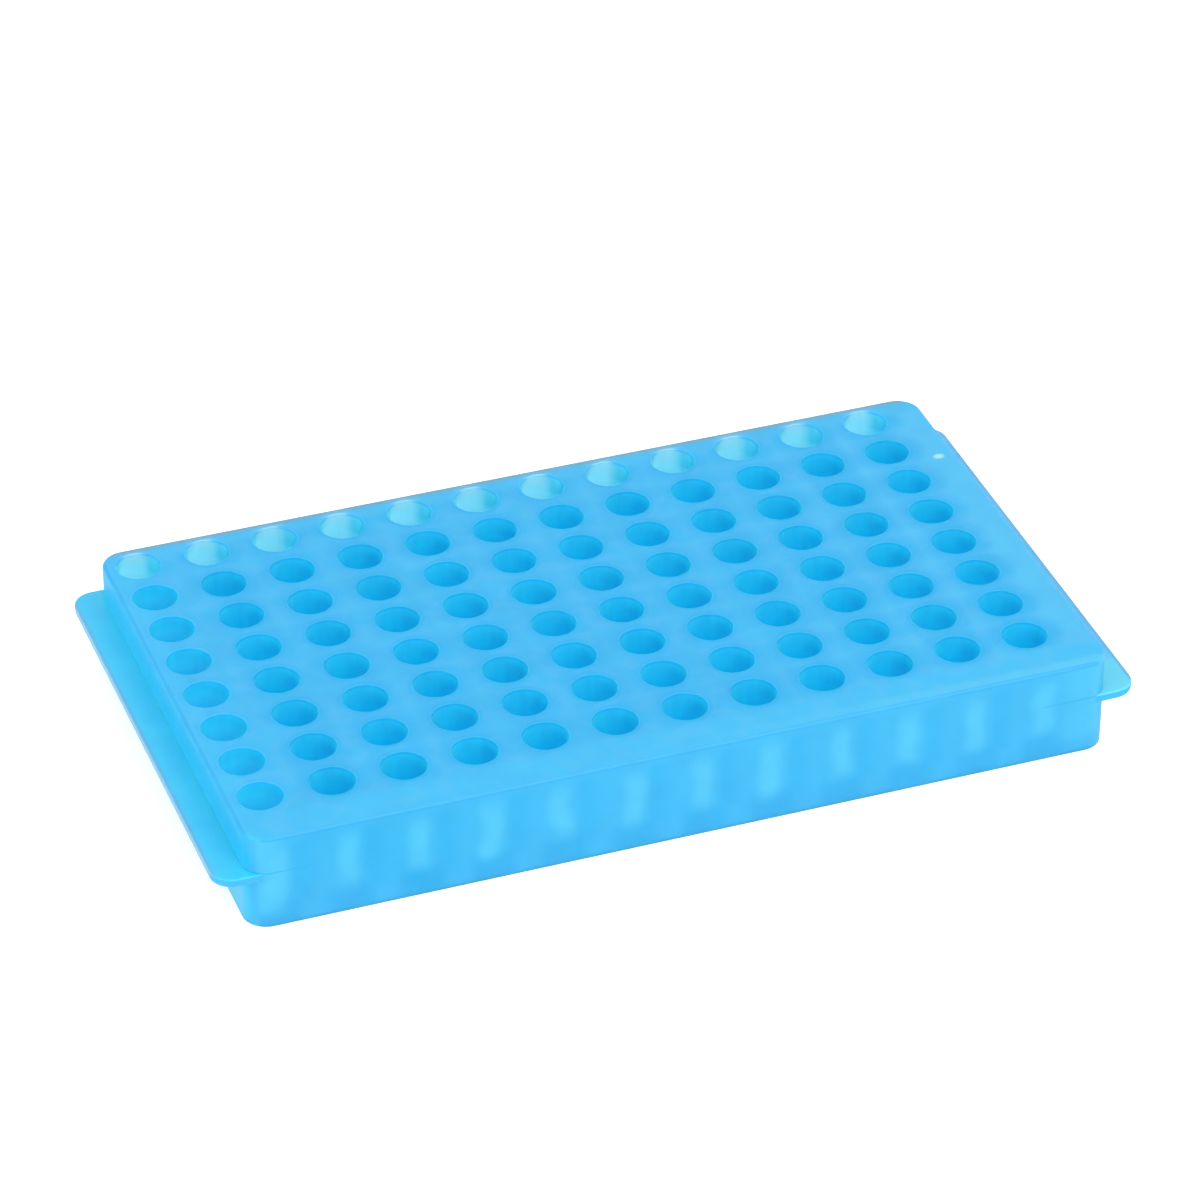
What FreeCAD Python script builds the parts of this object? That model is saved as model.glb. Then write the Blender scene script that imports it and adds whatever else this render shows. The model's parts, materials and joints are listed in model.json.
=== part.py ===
import FreeCAD, Part
import math
import os
import Sketcher

# Rack for microcentrifuge tubes, one moulding in polypropylene.
#
# A shallow box, open underneath, carries a grid of round wells below its top plate. Each well is
# blind, with a flat floor, so that a tube stands with its upper half in the open. The wells of a
# column share one bar, which hangs from the top plate and stops short of the bench. The first
# bar grows into the left skirt, every bar grows into the back skirt, and their front ends are
# bevelled round the front wells. The border left and behind is narrow, and the wide border right
# and in front is the place for index marks. A ledge at each end, level with the mould's parting
# line, takes the fingers or a cover's clips.
#
# Frame: millimetres, +Z up, X along the rows, Y from the front to the back. The origin is the
# centre of the body's footprint, on the surface that the rack stands on.

NODE = "tube_rack"

# name, millimetres, meaning
SIZES = [
    ("rack_length", 216.8, "body along X, without the ledges"),
    ("rack_width", 125.4, "body along Y"),
    ("rack_height", 25.4, "foot to top plate"),
    ("corner_radius", 6.0, "upright corners of the body"),
    ("rim_round", 0.8, "edge between top plate and skirt"),
    ("top_plate", 2.0, "thickness of the top plate"),
    ("skirt_wall", 1.8, "thickness of the skirt"),
    ("column_pitch", 17.5, "well to well along X"),
    ("row_pitch", 14.4, "well to well along Y"),
    ("well_diameter", 11.0, "bore for 1.5 and 2 ml tubes"),
    ("well_depth", 16.5, "top plate's face to a well's floor"),
    ("well_floor", 1.5, "thickness of a well's floor"),
    ("bar_wall", 1.5, "plastic between a well and the sides of its bar"),
    ("left_edge_wall", 2.9, "plastic between the first column and the left face"),
    ("back_edge_wall", 2.5, "plastic between the back row and the back face"),
    ("least_index_border", 9.0, "least flat border for index marks, right and front"),
    ("ledge_reach", 7.6, "how far a ledge stands out of an end"),
    ("ledge_thickness", 2.4, "thickness of a ledge"),
    ("ledge_underside", 13.0, "height of a ledge's lower face"),
    ("ledge_corner_radius", 5.5, "outer corners of a ledge"),
    ("ledge_inset", 0.4, "step from the body's long faces to a ledge's ends"),
]

# expressions that more than one feature uses
CAVITY_DEPTH = "Sizes.rack_height - Sizes.top_plate"
BAR_FOOT = "Sizes.rack_height - Sizes.well_depth - Sizes.well_floor"
BAR_WIDTH = "Sizes.well_diameter + 2 * Sizes.bar_wall"
FIRST_COLUMN = "-Sizes.rack_length / 2 + Sizes.left_edge_wall + Sizes.well_diameter / 2"
BACK_ROW = "Sizes.rack_width / 2 - Sizes.back_edge_wall - Sizes.well_diameter / 2"
COLUMN_STEPS = (
    "floor((Sizes.rack_length - Sizes.left_edge_wall - Sizes.well_diameter"
    " - Sizes.least_index_border) / Sizes.column_pitch)"
)
ROW_STEPS = (
    "floor((Sizes.rack_width - Sizes.back_edge_wall - Sizes.well_diameter"
    " - Sizes.least_index_border) / Sizes.row_pitch)"
)

BEVEL_SHARE = 1 - math.tan(math.pi / 8)  # of a half width, cut off by three sides of an octagon
LEVEL = 1e-6  # edges this close to a height lie at it
PLANE, Y_AXIS = -1, -2  # Sketcher's numbers for a sketch's origin with its X axis, and its Y axis
POINT_START, POINT_END, POINT_CENTRE = 1, 2, 3


def write_sheet(doc):
    """Puts the driving sizes into the document's sheet, one alias a row."""
    sheet = doc.addObject("Spreadsheet::Sheet", "Sizes")
    for row, (alias, value, meaning) in enumerate(SIZES, start=1):
        sheet.set(f"A{row}", alias)
        sheet.set(f"B{row}", str(value))
        sheet.set(f"C{row}", meaning)
        sheet.setAlias(f"B{row}", alias)
    doc.recompute()
    return sheet


def bind(target, **expressions):
    """Binds properties of an object to expressions."""
    for prop, expression in expressions.items():
        target.setExpression(prop, expression)


def origin_feature(body, role):
    """One of the body's own origin planes or axes."""
    return next(each for each in body.Origin.OriginFeatures if each.Role == role)


def flat_sketch(body, name, **offset):
    """A sketch on the body's XY plane, shifted by expressions for x, y and z."""
    sketch = body.newObject("Sketcher::SketchObject", name)
    sketch.AttachmentSupport = (origin_feature(body, "XY_Plane"), [""])
    sketch.MapMode = "FlatFace"
    for axis, expression in offset.items():
        sketch.setExpression(f"AttachmentOffset.Base.{axis}", expression)
    return sketch


def dimension(sketch, constraint, expression):
    """Adds a sized constraint and binds it to an expression."""
    index = sketch.addConstraint(constraint)
    sketch.setExpression(f"Constraints[{index}]", expression)


def rounded_rectangle(sketch, length, width, radius):
    """Draws a rectangle with round corners, centred on the sketch's origin.

    length, width and radius are expressions. Four arcs sit on the corners and four lines join
    them; the arcs' centres are what the length and width set.
    """
    half_x, half_y, r = 50.0, 30.0, 5.0
    quarter = math.pi / 2
    up = FreeCAD.Vector(0, 0, 1)
    corners = [(1, 1), (-1, 1), (-1, -1), (1, -1)]
    arcs = []
    for turn, (sx, sy) in enumerate(corners):
        circle = Part.Circle(FreeCAD.Vector(sx * (half_x - r), sy * (half_y - r), 0), up, r)
        arcs.append(
            sketch.addGeometry(Part.ArcOfCircle(circle, turn * quarter, (turn + 1) * quarter))
        )
    lines = []
    for here, after in zip(arcs, arcs[1:] + arcs[:1]):
        ends = (sketch.getPoint(here, POINT_END), sketch.getPoint(after, POINT_START))
        lines.append(sketch.addGeometry(Part.LineSegment(*ends)))
    for k, line in enumerate(lines):
        after = arcs[(k + 1) % len(arcs)]
        sketch.addConstraint(Sketcher.Constraint("Tangent", arcs[k], POINT_END, line, POINT_START))
        sketch.addConstraint(Sketcher.Constraint("Tangent", line, POINT_END, after, POINT_START))
        sketch.addConstraint(Sketcher.Constraint("Vertical" if k % 2 else "Horizontal", line))
    for other in arcs[1:]:
        sketch.addConstraint(Sketcher.Constraint("Equal", arcs[0], other))
    sketch.addConstraint(
        Sketcher.Constraint(
            "Symmetric", arcs[0], POINT_CENTRE, arcs[2], POINT_CENTRE, PLANE, POINT_START
        )
    )
    dimension(sketch, Sketcher.Constraint("Radius", arcs[0], r), radius)
    dimension(
        sketch,
        Sketcher.Constraint(
            "DistanceX", arcs[1], POINT_CENTRE, arcs[0], POINT_CENTRE, 2 * (half_x - r)
        ),
        f"{length} - 2 * ({radius})",
    )
    dimension(
        sketch,
        Sketcher.Constraint(
            "DistanceY", arcs[3], POINT_CENTRE, arcs[0], POINT_CENTRE, 2 * (half_y - r)
        ),
        f"{width} - 2 * ({radius})",
    )


def bevelled_bar(sketch, width, back, front, bevel):
    """Draws a bar along Y whose front corners are cut off at 45 degrees.

    The sketch's origin is on the bar's middle line. width is the expression for its whole width,
    back and front are those for its reach from the origin, and bevel is the cut along X and Y.
    """
    half, near, far, cut = 7.0, -100.0, 7.0, 4.0
    outline = [
        (half, far),
        (-half, far),
        (-half, near + cut),
        (cut - half, near),
        (half - cut, near),
        (half, near + cut),
    ]
    points = [FreeCAD.Vector(x, y, 0) for x, y in outline]
    sides = [
        sketch.addGeometry(Part.LineSegment(here, after))
        for here, after in zip(points, points[1:] + points[:1])
    ]
    for here, after in zip(sides, sides[1:] + sides[:1]):
        sketch.addConstraint(
            Sketcher.Constraint("Coincident", here, POINT_END, after, POINT_START)
        )
    top, left, left_bevel, foot, _, right = sides
    for side in (left, right):
        sketch.addConstraint(Sketcher.Constraint("Vertical", side))
    for side in (top, foot):
        sketch.addConstraint(
            Sketcher.Constraint("Symmetric", side, POINT_START, side, POINT_END, Y_AXIS)
        )
    sketch.addConstraint(Sketcher.Constraint("Equal", left, right))
    dimension(
        sketch,
        Sketcher.Constraint("DistanceX", top, POINT_END, top, POINT_START, 2 * half),
        width,
    )
    dimension(
        sketch, Sketcher.Constraint("DistanceY", PLANE, POINT_START, top, POINT_START, far), back
    )
    dimension(
        sketch, Sketcher.Constraint("DistanceY", foot, POINT_START, PLANE, POINT_START, -near), front
    )
    upper = (left_bevel, POINT_START)
    lower = (left_bevel, POINT_END)
    dimension(sketch, Sketcher.Constraint("DistanceX", *upper, *lower, cut), bevel)
    dimension(sketch, Sketcher.Constraint("DistanceY", *lower, *upper, cut), bevel)


def centred_circle(sketch, radius):
    """Draws a circle on the sketch's origin; radius is an expression."""
    start = 5.0
    circle = sketch.addGeometry(
        Part.Circle(FreeCAD.Vector(0, 0, 0), FreeCAD.Vector(0, 0, 1), start)
    )
    sketch.addConstraint(
        Sketcher.Constraint("Coincident", circle, POINT_CENTRE, PLANE, POINT_START)
    )
    dimension(sketch, Sketcher.Constraint("Radius", circle, start), radius)


def repeat(body, name, original, rows):
    """Repeats a feature to the right over the columns and, if rows is true, forwards over the rows."""
    pattern = body.newObject("PartDesign::LinearPattern", name)
    pattern.Originals = [original]
    pattern.Direction = (origin_feature(body, "X_Axis"), [""])
    bind(
        pattern,
        Length=f"{COLUMN_STEPS} * Sizes.column_pitch",
        Occurrences=f"{COLUMN_STEPS} + 1",
    )
    if rows:
        pattern.Direction2 = (origin_feature(body, "Y_Axis"), [""])
        pattern.Reversed2 = True
        bind(
            pattern,
            Length2=f"{ROW_STEPS} * Sizes.row_pitch",
            Occurrences2=f"{ROW_STEPS} + 1",
        )
    body.Tip = pattern
    body.Document.recompute()
    return pattern


def edges_at(shape, height):
    """Names of the edges that lie wholly at one height."""
    return [
        f"Edge{k}"
        for k, edge in enumerate(shape.Edges, start=1)
        if abs(edge.BoundBox.ZMin - height) < LEVEL and abs(edge.BoundBox.ZMax - height) < LEVEL
    ]


def pad(body, name, sketch, length):
    """Pads a sketch upwards by an expression."""
    feature = body.newObject("PartDesign::Pad", name)
    feature.Profile = sketch
    bind(feature, Length=length)
    body.Document.recompute()
    return feature


def round_edges(body, name, base, height, radius):
    """Rounds every edge of a feature at one height by an expression."""
    feature = body.newObject("PartDesign::Fillet", name)
    feature.Base = (base, edges_at(base.Shape, height))
    bind(feature, Radius=radius)
    body.Document.recompute()
    return feature


def outer_block(body, sheet):
    """The body's outside as a solid block with a rounded rim."""
    outline = flat_sketch(body, "BodyOutline")
    rounded_rectangle(outline, "Sizes.rack_length", "Sizes.rack_width", "Sizes.corner_radius")
    block = pad(body, "BodyBlock", outline, "Sizes.rack_height")
    return round_edges(body, "RimRound", block, sheet.rack_height, "Sizes.rim_round")


def end_ledges(body):
    """One slab across the block, which stands out of both ends as their ledges."""
    outline = flat_sketch(body, "LedgeOutline", z="Sizes.ledge_underside")
    rounded_rectangle(
        outline,
        "Sizes.rack_length + 2 * Sizes.ledge_reach",
        "Sizes.rack_width - 2 * Sizes.ledge_inset",
        "Sizes.ledge_corner_radius",
    )
    return pad(body, "EndLedges", outline, "Sizes.ledge_thickness")


def hollow(body):
    """Opens the block from below and leaves the skirt and the top plate."""
    outline = flat_sketch(body, "CavityOutline")
    rounded_rectangle(
        outline,
        "Sizes.rack_length - 2 * Sizes.skirt_wall",
        "Sizes.rack_width - 2 * Sizes.skirt_wall",
        "Sizes.corner_radius - Sizes.skirt_wall",
    )
    cavity = body.newObject("PartDesign::Pocket", "Cavity")
    cavity.Profile = outline
    cavity.Reversed = True
    bind(cavity, Length=CAVITY_DEPTH)
    body.Document.recompute()
    return cavity


def bars(body):
    """A solid bar for each column of wells, hanging from the top plate."""
    outline = flat_sketch(body, "BarOutline", x=FIRST_COLUMN, y=BACK_ROW, z=BAR_FOOT)
    bevelled_bar(
        outline,
        width=BAR_WIDTH,
        back=f"({BAR_WIDTH}) / 2",
        front=f"{ROW_STEPS} * Sizes.row_pitch + ({BAR_WIDTH}) / 2",
        bevel=f"{BEVEL_SHARE} * ({BAR_WIDTH}) / 2",
    )
    first = pad(body, "Bar", outline, f"{CAVITY_DEPTH} - ({BAR_FOOT})")
    return repeat(body, "Bars", first, rows=False)


def wells(body):
    """The round bores, cut from the top plate's face down to their floors."""
    mouth = flat_sketch(body, "WellMouth", x=FIRST_COLUMN, y=BACK_ROW, z="Sizes.rack_height")
    centred_circle(mouth, "Sizes.well_diameter / 2")
    first = body.newObject("PartDesign::Pocket", "Well")
    first.Profile = mouth
    bind(first, Length="Sizes.well_depth")
    body.Document.recompute()
    return repeat(body, "Wells", first, rows=True)


def build_rack(doc, sheet):
    """The whole moulding as one PartDesign body."""
    body = doc.addObject("PartDesign::Body", "TubeRack")
    body.Label = NODE
    outer_block(body, sheet)
    end_ledges(body)
    hollow(body)
    bars(body)
    wells(body)
    doc.recompute()
    return body


def check_state(doc):
    """Stops if any object failed to compute."""
    for each in doc.Objects:
        if {"Invalid", "Error"} & set(each.State):
            raise RuntimeError(f"{each.Name} failed: {each.State}")


def check_solid(body):
    """Stops if the body isn't one valid solid."""
    shape = body.Shape
    if shape.isNull() or not shape.isValid() or len(shape.Solids) != 1:
        raise RuntimeError(f"{body.Label} isn't one valid solid")


def check_features(doc, sheet):
    """Compares what the cavity and the wells took away with their sizes, so that no cut is lost.

    Returns the number of wells.
    """

    def volume(name):
        return doc.getObject(name).Shape.Volume

    grid = doc.getObject("Wells")
    count = grid.Occurrences * grid.Occurrences2
    bores = count * math.pi / 4 * sheet.well_diameter**2 * sheet.well_depth
    inside = doc.getObject("CavityOutline").Shape
    cavity = Part.Face(inside).Area * (sheet.rack_height - sheet.top_plate)
    for name, made, due in (
        ("cavity", volume("EndLedges") - volume("Cavity"), cavity),
        ("wells", volume("Bars") - volume("Wells"), bores),
    ):
        if abs(made - due) > 0.001 * due:
            raise RuntimeError(f"the {name} took {made:.0f} mm3 away, not {due:.0f}")
    return count


def main():
    """Builds the document, checks it and writes the node's STEP file."""
    doc = FreeCAD.newDocument("MicrocentrifugeTubeRack")
    sheet = write_sheet(doc)
    body = build_rack(doc, sheet)
    check_state(doc)
    check_solid(body)
    wells_made = check_features(doc, sheet)
    os.makedirs("parts", exist_ok=True)
    body.Shape.exportStep(f"parts/{body.Label}.step")
    box = body.Shape.BoundBox
    print(f"{body.Label}: {wells_made} wells, {body.Shape.Volume / 1000:.1f} cm3,")
    print(f"  {box.XLength:.1f} x {box.YLength:.1f} x {box.ZLength:.1f} mm")


main()
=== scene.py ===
"""A low translucent rack of blind wells for microcentrifuge tubes, on a plain pale floor in soft light."""

from __future__ import annotations

import json
import logging
import math
from dataclasses import dataclass, field
from enum import Enum
from typing import Any, Iterable, Union

import bmesh
import bpy
import numpy as np
from mathutils import Matrix, Vector


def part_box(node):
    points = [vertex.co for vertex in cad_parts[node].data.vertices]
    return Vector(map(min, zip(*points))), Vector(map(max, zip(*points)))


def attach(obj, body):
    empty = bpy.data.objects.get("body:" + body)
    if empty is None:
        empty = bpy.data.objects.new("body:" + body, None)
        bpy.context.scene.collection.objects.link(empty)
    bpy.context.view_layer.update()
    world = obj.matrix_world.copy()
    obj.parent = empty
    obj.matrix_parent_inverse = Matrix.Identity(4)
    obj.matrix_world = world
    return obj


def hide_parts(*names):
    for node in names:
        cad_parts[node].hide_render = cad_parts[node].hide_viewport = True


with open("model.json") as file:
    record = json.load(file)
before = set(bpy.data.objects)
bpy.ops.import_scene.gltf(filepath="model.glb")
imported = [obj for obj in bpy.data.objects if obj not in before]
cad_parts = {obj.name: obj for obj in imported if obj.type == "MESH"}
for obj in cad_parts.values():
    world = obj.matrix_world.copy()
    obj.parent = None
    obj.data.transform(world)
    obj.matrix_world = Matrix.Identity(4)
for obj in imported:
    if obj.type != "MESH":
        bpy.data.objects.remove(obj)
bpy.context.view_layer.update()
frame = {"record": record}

LOG = logging.getLogger("rack")
MM = 0.001
TINY = 1e-6
EIGHTH_TURN = math.pi / 4
QUARTER_TURN = math.pi / 2
WHITE = (1.0, 1.0, 1.0, 1.0)
Colour = tuple[float, float, float]
Span = tuple[float, float]
Operand = Union["Signal", float]
Tone = Union["Signal", Colour]


class Side(Enum):
    """The rack's two ends, by the sign of their x."""

    LEFT = -1.0
    RIGHT = 1.0


# ---- shader maths


class Signal:
    """One output socket of a material's nodes, on which Python's operators add Math nodes."""

    def __init__(self, nodes: NodeSheet, socket: bpy.types.NodeSocket | None) -> None:
        """Args:
            nodes: the sheet that holds the socket's node.
            socket: the output that this signal carries, or None for a node without outputs.
        """
        self.nodes = nodes
        self.socket = socket

    def _math(self, operation: str, *values: Operand) -> Signal:
        """Returns a Math node's output for an operation and its inputs, signals or numbers."""
        return self.nodes.add("ShaderNodeMath", {"operation": operation}, dict(enumerate(values)))

    def __add__(self, other: Operand) -> Signal:
        """Returns self + other."""
        return self._math("ADD", self, other)

    __radd__ = __add__

    def __sub__(self, other: Operand) -> Signal:
        """Returns self - other."""
        return self._math("SUBTRACT", self, other)

    def __rsub__(self, other: Operand) -> Signal:
        """Returns other - self."""
        return self._math("SUBTRACT", other, self)

    def __mul__(self, other: Operand) -> Signal:
        """Returns self * other."""
        return self._math("MULTIPLY", self, other)

    __rmul__ = __mul__

    def __truediv__(self, other: Operand) -> Signal:
        """Returns self / other."""
        return self._math("DIVIDE", self, other)

    def __abs__(self) -> Signal:
        """Returns the size of self, without its sign."""
        return self._math("ABSOLUTE", self)

    def hypot(self, other: Signal) -> Signal:
        """Returns the root of the sum of both squares."""
        return self._math("POWER", self * self + other * other, 0.5)

    def above(self, limit: Operand) -> Signal:
        """Returns 1 where self is over the limit, and 0 elsewhere."""
        return self._math("GREATER_THAN", self, limit)

    def most(self, other: Operand) -> Signal:
        """Returns the larger of self and other."""
        return self._math("MAXIMUM", self, other)

    def least(self, other: Operand) -> Signal:
        """Returns the smaller of self and other."""
        return self._math("MINIMUM", self, other)

    def rounded(self) -> Signal:
        """Returns the whole number nearest to self."""
        return self._math("ROUND", self)

    def span(self, low: float, high: float) -> Signal:
        """Returns a value from low to high for a self from 0 to 1."""
        return low + (high - low) * self

    def rise(self, start: float, stop: float) -> Signal:
        """Args:
            start: the value at which the ramp is 0.
            stop: the value at which the ramp is 1, below start for a falling ramp.

        Returns:
            A smooth ramp from 0 to 1.
        """
        low, high = min(start, stop), max(start, stop)
        values = {0: self, 1: low, 2: high, 3: float(start > stop), 4: float(start < stop)}
        return self.nodes.add("ShaderNodeMapRange", {"interpolation_type": "SMOOTHSTEP"}, values)

    def band(self, start: float, full: float, fade: float, stop: float) -> Signal:
        """Returns a mask that rises from start to full and falls from fade to stop."""
        return self.rise(start, full) * self.rise(stop, fade)


class NodeSheet:
    """The nodes of one material or world."""

    def __init__(self, tree: bpy.types.NodeTree) -> None:
        """Args:
            tree: the node tree, which is emptied.
        """
        self.tree = tree
        tree.nodes.clear()

    def add(
        self,
        kind: str,
        settings: dict[str, Any] | None = None,
        inputs: dict[str | int, Any] | None = None,
        output: str | int = 0,
    ) -> Signal:
        """Adds one node.

        Args:
            kind: the node's type.
            settings: its properties, set before its sockets.
            inputs: values or signals for its input sockets, by name or number.
            output: the output socket to return, by name or number.

        Returns:
            That output as a signal.
        """
        node = self.tree.nodes.new(kind)
        for name, value in (settings or {}).items():
            setattr(node, name, value)
        for key, value in (inputs or {}).items():
            if isinstance(value, Signal):
                self.tree.links.new(value.socket, node.inputs[key])
            else:
                node.inputs[key].default_value = value
        return Signal(self, node.outputs[output] if len(node.outputs) else None)

    def mix(self, factor: Operand, first: Tone, second: Tone) -> Signal:
        """Returns a mix of two colours, for a factor from 0, the first, to 1, the second."""
        values = {0: factor, 6: self._rgba(first), 7: self._rgba(second)}
        return self.add("ShaderNodeMix", {"data_type": "RGBA", "clamp_factor": True}, values, 2)

    def layers(self, base: Tone, coats: Iterable[tuple[Operand, Tone]]) -> Tone:
        """Args:
            base: the lowest colour.
            coats: masks and the colours they lay over it, one after another.

        Returns:
            The uppermost colour.
        """
        for mask, colour in coats:
            base = self.mix(mask, base, colour)
        return base

    def shaded(self, colour: Signal, level: Signal) -> Signal:
        """Returns the colour times a level."""
        return self.add("ShaderNodeVectorMath", {"operation": "SCALE"}, {0: colour, "Scale": level})

    @staticmethod
    def _rgba(colour: Tone) -> Signal | tuple[float, ...]:
        """Returns a colour with its alpha, or the signal as it is."""
        return colour if isinstance(colour, Signal) else (*colour, 1.0)

    def position(self) -> tuple[Signal, ...]:
        """Returns the object coordinates x, y and z in millimetres."""
        place = self.add("ShaderNodeTexCoord", output="Object")
        scaled = self.add("ShaderNodeVectorMath", {"operation": "SCALE"}, {0: place, "Scale": 1.0 / MM})
        split = self.add("ShaderNodeSeparateXYZ", inputs={0: scaled}).socket.node
        return tuple(Signal(self, out) for out in split.outputs)

    def noise(self, place: tuple[Signal, ...], spot: Span, detail: float = 1.0) -> Signal:
        """Args:
            place: x, y and z.
            spot: the size of the spots across x and y, and upright.
            detail: how many finer octaves lie over them.

        Returns:
            A noise from 0 to 1.
        """
        x, y, z = place
        across, upright = spot
        scaled = self.add("ShaderNodeCombineXYZ", inputs={0: x / across, 1: y / across, 2: z / upright})
        return self.add("ShaderNodeTexNoise", inputs={"Vector": scaled, "Scale": 1.0, "Detail": detail})


# ---- mesh making


@dataclass
class Skin:
    """Patches of one closed surface, in millimetres, which are sewn together where they meet."""

    points: list[np.ndarray] = field(default_factory=list)
    faces: list[tuple[int, ...]] = field(default_factory=list)
    count: int = 0
    sew: float = 0.002
    sliver: float = 0.001

    def _keep(self, points: np.ndarray) -> int:
        """Keeps new points, one row each, and returns the index of the first of them."""
        start = self.count
        self.points.append(points.reshape(-1, 3))
        self.count += len(self.points[-1])
        return start

    def bands(self, rings: np.ndarray, closed: bool = True) -> None:
        """Adds a grid of quads: point (i, j) joins (i, j+1), (i+1, j+1) and (i+1, j).

        Args:
            rings: points as rings x points x 3.
            closed: whether the last point of a ring joins its first.
        """
        start = self._keep(rings)
        number, length = rings.shape[:2]
        index = start + np.arange(number * length).reshape(number, length)
        if closed:
            index = np.hstack([index, index[:, :1]])
        quads = np.stack([index[:-1, :-1], index[:-1, 1:], index[1:, 1:], index[1:, :-1]], -1)
        self.faces += [tuple(face) for face in quads.reshape(-1, 4).tolist()]

    def fan(self, ring: np.ndarray, centre: np.ndarray) -> None:
        """Adds triangles from a closed ring, points x 3, to its centre."""
        start = self._keep(np.vstack([ring, centre[None]]))
        index = start + np.arange(len(ring))
        spokes = np.stack([index, np.roll(index, -1), np.full(len(ring), start + len(ring))], -1)
        self.faces += [tuple(face) for face in spokes.tolist()]

    def panel(self, outline: np.ndarray) -> None:
        """Adds one flat face from its outline, points x 3 in order."""
        start = self._keep(outline)
        self.faces.append(tuple(range(start, start + len(outline))))

    def mesh(self, name: str) -> bpy.types.Mesh:
        """Sews the patches into one closed mesh in metres, with its faces pointing outwards.

        Args:
            name: the mesh's name.

        Returns:
            The mesh.
        """
        mesh = bpy.data.meshes.new(name)
        mesh.from_pydata(np.vstack(self.points) * MM, [], self.faces)
        sewn = bmesh.new()
        sewn.from_mesh(mesh)
        bmesh.ops.remove_doubles(sewn, verts=sewn.verts, dist=self.sew * MM)
        bmesh.ops.dissolve_degenerate(sewn, edges=sewn.edges, dist=self.sliver * MM)
        bmesh.ops.recalc_face_normals(sewn, faces=sewn.faces)
        sewn.to_mesh(mesh)
        sewn.free()
        return mesh


def lift(plan: np.ndarray, height: float | np.ndarray) -> np.ndarray:
    """Gives plan points a height: (x, y) becomes (x, y, height).

    Args:
        plan: points as ... x 2.
        height: one height, or heights that fit the points.

    Returns:
        Points as ... x 3.
    """
    return np.concatenate([plan, np.broadcast_to(height, plan.shape[:-1])[..., None]], -1)


def stacked(plans: Iterable[np.ndarray], heights: Iterable[float]) -> np.ndarray:
    """Returns rings, each a plan lifted to its own height."""
    return np.stack([lift(plan, height) for plan, height in zip(plans, heights)])


def spaced(stations: Iterable[float], step: float) -> np.ndarray:
    """Fills the gaps between stations with evenly spaced places no more than a step apart.

    Args:
        stations: places that are kept.
        step: the widest gap.

    Returns:
        All places, in rising order.
    """
    marks = np.unique(np.round(np.asarray(list(stations), float), 6))
    parts = [
        np.linspace(low, high, max(1, math.ceil((high - low) / step - TINY)), endpoint=False)
        for low, high in zip(marks[:-1], marks[1:])
    ]
    return np.concatenate([*parts, marks[-1:]])


def nearest(places: np.ndarray, wanted: float) -> int:
    """Returns the number of the place nearest to the wanted one."""
    return int(np.abs(places - wanted).argmin())


# ---- the rack


@dataclass(frozen=True)
class WellGrid:
    """The wells as the record states them: a grid of bores that open upwards, in millimetres."""

    first_x: float
    back_y: float
    column_pitch: float
    row_pitch: float
    columns: int
    rows: int
    radius: float
    depth: float

    @classmethod
    def read(cls, record: dict[str, Any]) -> WellGrid:
        """Works the grid out from the stated bore and the openings of the wells round the edge. An opening
        is named well_, its row's letter and its column's number.

        Args:
            record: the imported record.

        Returns:
            The grid.
        """
        bore = next(mount for mount in record["mounts"] if mount["kind"] == "bore")
        x, y, _ = (value / MM for value in bore["pos_m"])
        wells = [box for box in record["physics"]["openings"] if box["name"].startswith("well_")]
        places = [box["name"].removeprefix("well_") for box in wells]
        centres = np.array([np.mean(box["box_m"], axis=0)[:2] for box in wells]) / MM
        columns = max(int(place[1:]) for place in places)
        rows = 1 + max(ord(place[0]) for place in places) - ord("a")
        return cls(
            first_x=x,
            back_y=y,
            column_pitch=(centres[:, 0].max() - x) / (columns - 1),
            row_pitch=(y - centres[:, 1].min()) / (rows - 1),
            columns=columns,
            rows=rows,
            radius=bore["dims"]["r_mm"],
            depth=bore["dims"]["length_mm"],
        )

    def column_x(self) -> np.ndarray:
        """Returns the x of each column, from left to right."""
        return self.first_x + self.column_pitch * np.arange(self.columns)

    def row_y(self) -> np.ndarray:
        """Returns the y of each row, from front to back."""
        return self.back_y - self.row_pitch * np.arange(self.rows)[::-1]

    @property
    def last_x(self) -> float:
        """Returns the x of the last column."""
        return float(self.column_x()[-1])

    @property
    def front_y(self) -> float:
        """Returns the y of the front row."""
        return float(self.row_y()[0])


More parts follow.
